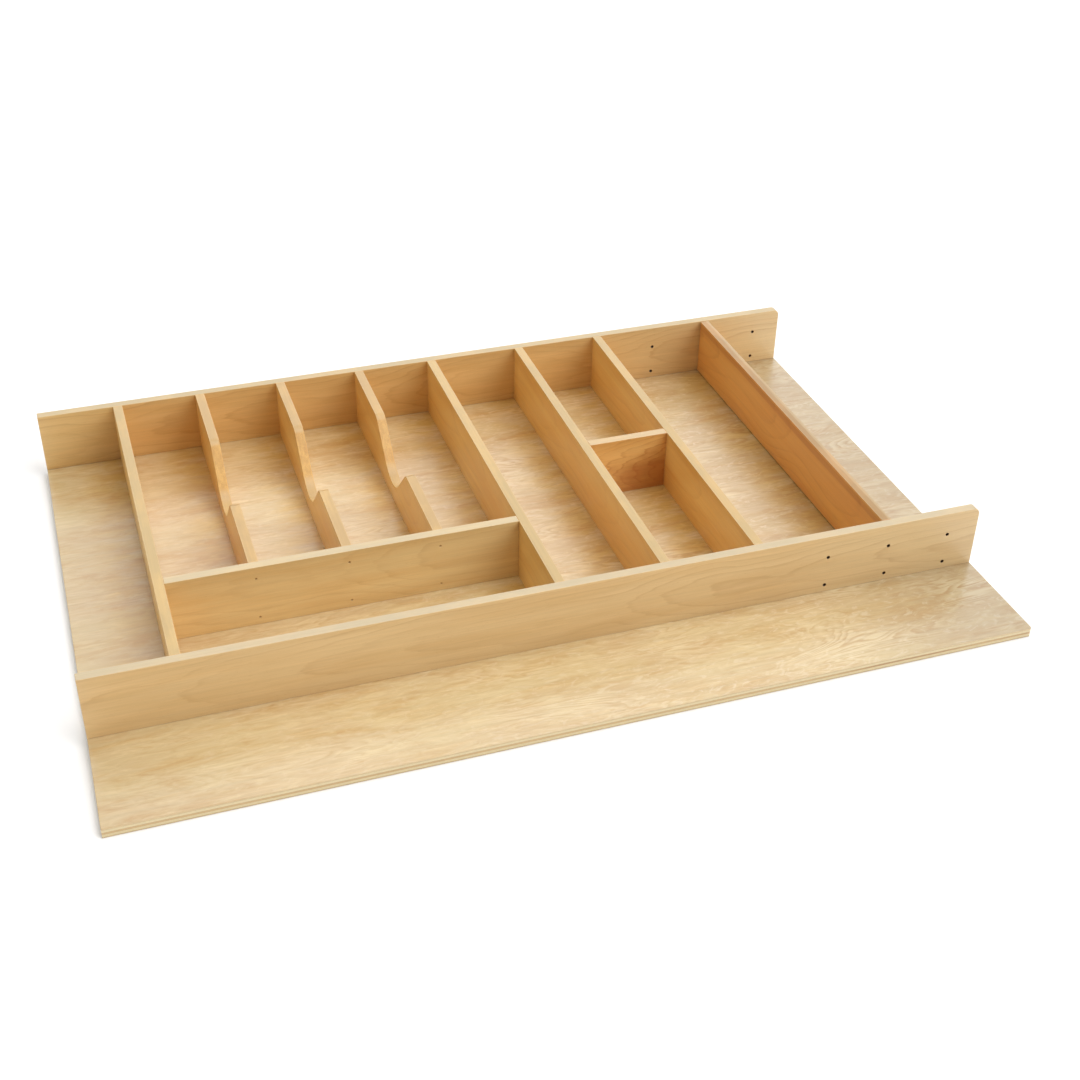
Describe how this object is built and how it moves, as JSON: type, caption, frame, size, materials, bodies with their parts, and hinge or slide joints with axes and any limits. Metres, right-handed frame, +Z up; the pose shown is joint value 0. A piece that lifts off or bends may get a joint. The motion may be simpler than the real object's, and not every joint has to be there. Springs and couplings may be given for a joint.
{
  "type": "drawer organizer insert",
  "caption": "Wooden drawer insert: plywood base with a bare front ledge, long front and rear rails, straight, finger-notched and cross dividers, and a sliding end divider.",
  "frame": {"origin": "centre of the insert's rectangular plan, on its underside", "axes": "+X to the right, towards the ends of the rails that carry the screw holes; +Y to the back, towards the rear rail; +Z up"},
  "size_m": [0.8414, 0.5588, 0.073],
  "materials": {
    "base_plywood": "clear satin lacquer on birch plywood, plies visible on the edges",
    "rail_maple": "clear satin lacquer on maple, grain along the rail",
    "divider_maple": "clear satin lacquer on maple, grain along the board",
    "finger_maple": "clear satin lacquer on maple, notch sanded smooth",
    "cross_maple": "clear satin lacquer on maple",
    "figured_maple": "clear satin lacquer on maple with strong swirling figure",
    "end_maple": "clear satin lacquer on redder maple with a dark streak under its top edge",
    "brad_steel": "bright steel wire brads, slightly dulled"
  },
  "bodies": {
    "tray": {"base_panel": "base_plywood", "front_rail": "rail_maple", "rear_rail": "rail_maple", "straight_divider_1": "divider_maple", "straight_divider_2": "divider_maple", "straight_divider_3": "divider_maple", "straight_divider_4": "divider_maple", "finger_divider_1": "finger_maple", "finger_divider_2": "finger_maple", "finger_divider_3": "finger_maple", "long_cross_divider": "cross_maple", "short_cross_divider": "figured_maple", "front_rail_brads": "brad_steel", "rear_rail_brads": "brad_steel", "straight_divider_1_brads": "brad_steel", "straight_divider_2_brads": "brad_steel", "straight_divider_3_brads": "brad_steel", "straight_divider_4_brads": "brad_steel", "finger_divider_1_brads": "brad_steel", "finger_divider_2_brads": "brad_steel", "finger_divider_3_brads": "brad_steel", "long_cross_divider_brads": "brad_steel", "short_cross_divider_brads": "brad_steel"},
    "end_divider": {"end_divider": "end_maple"}
  },
  "joints": [
    {"name": "end_divider_slide", "type": "slide", "parent": "tray", "child": "end_divider", "axis": [1, 0, 0], "range_m": [-0.0635, 0.0635]}
  ]
}
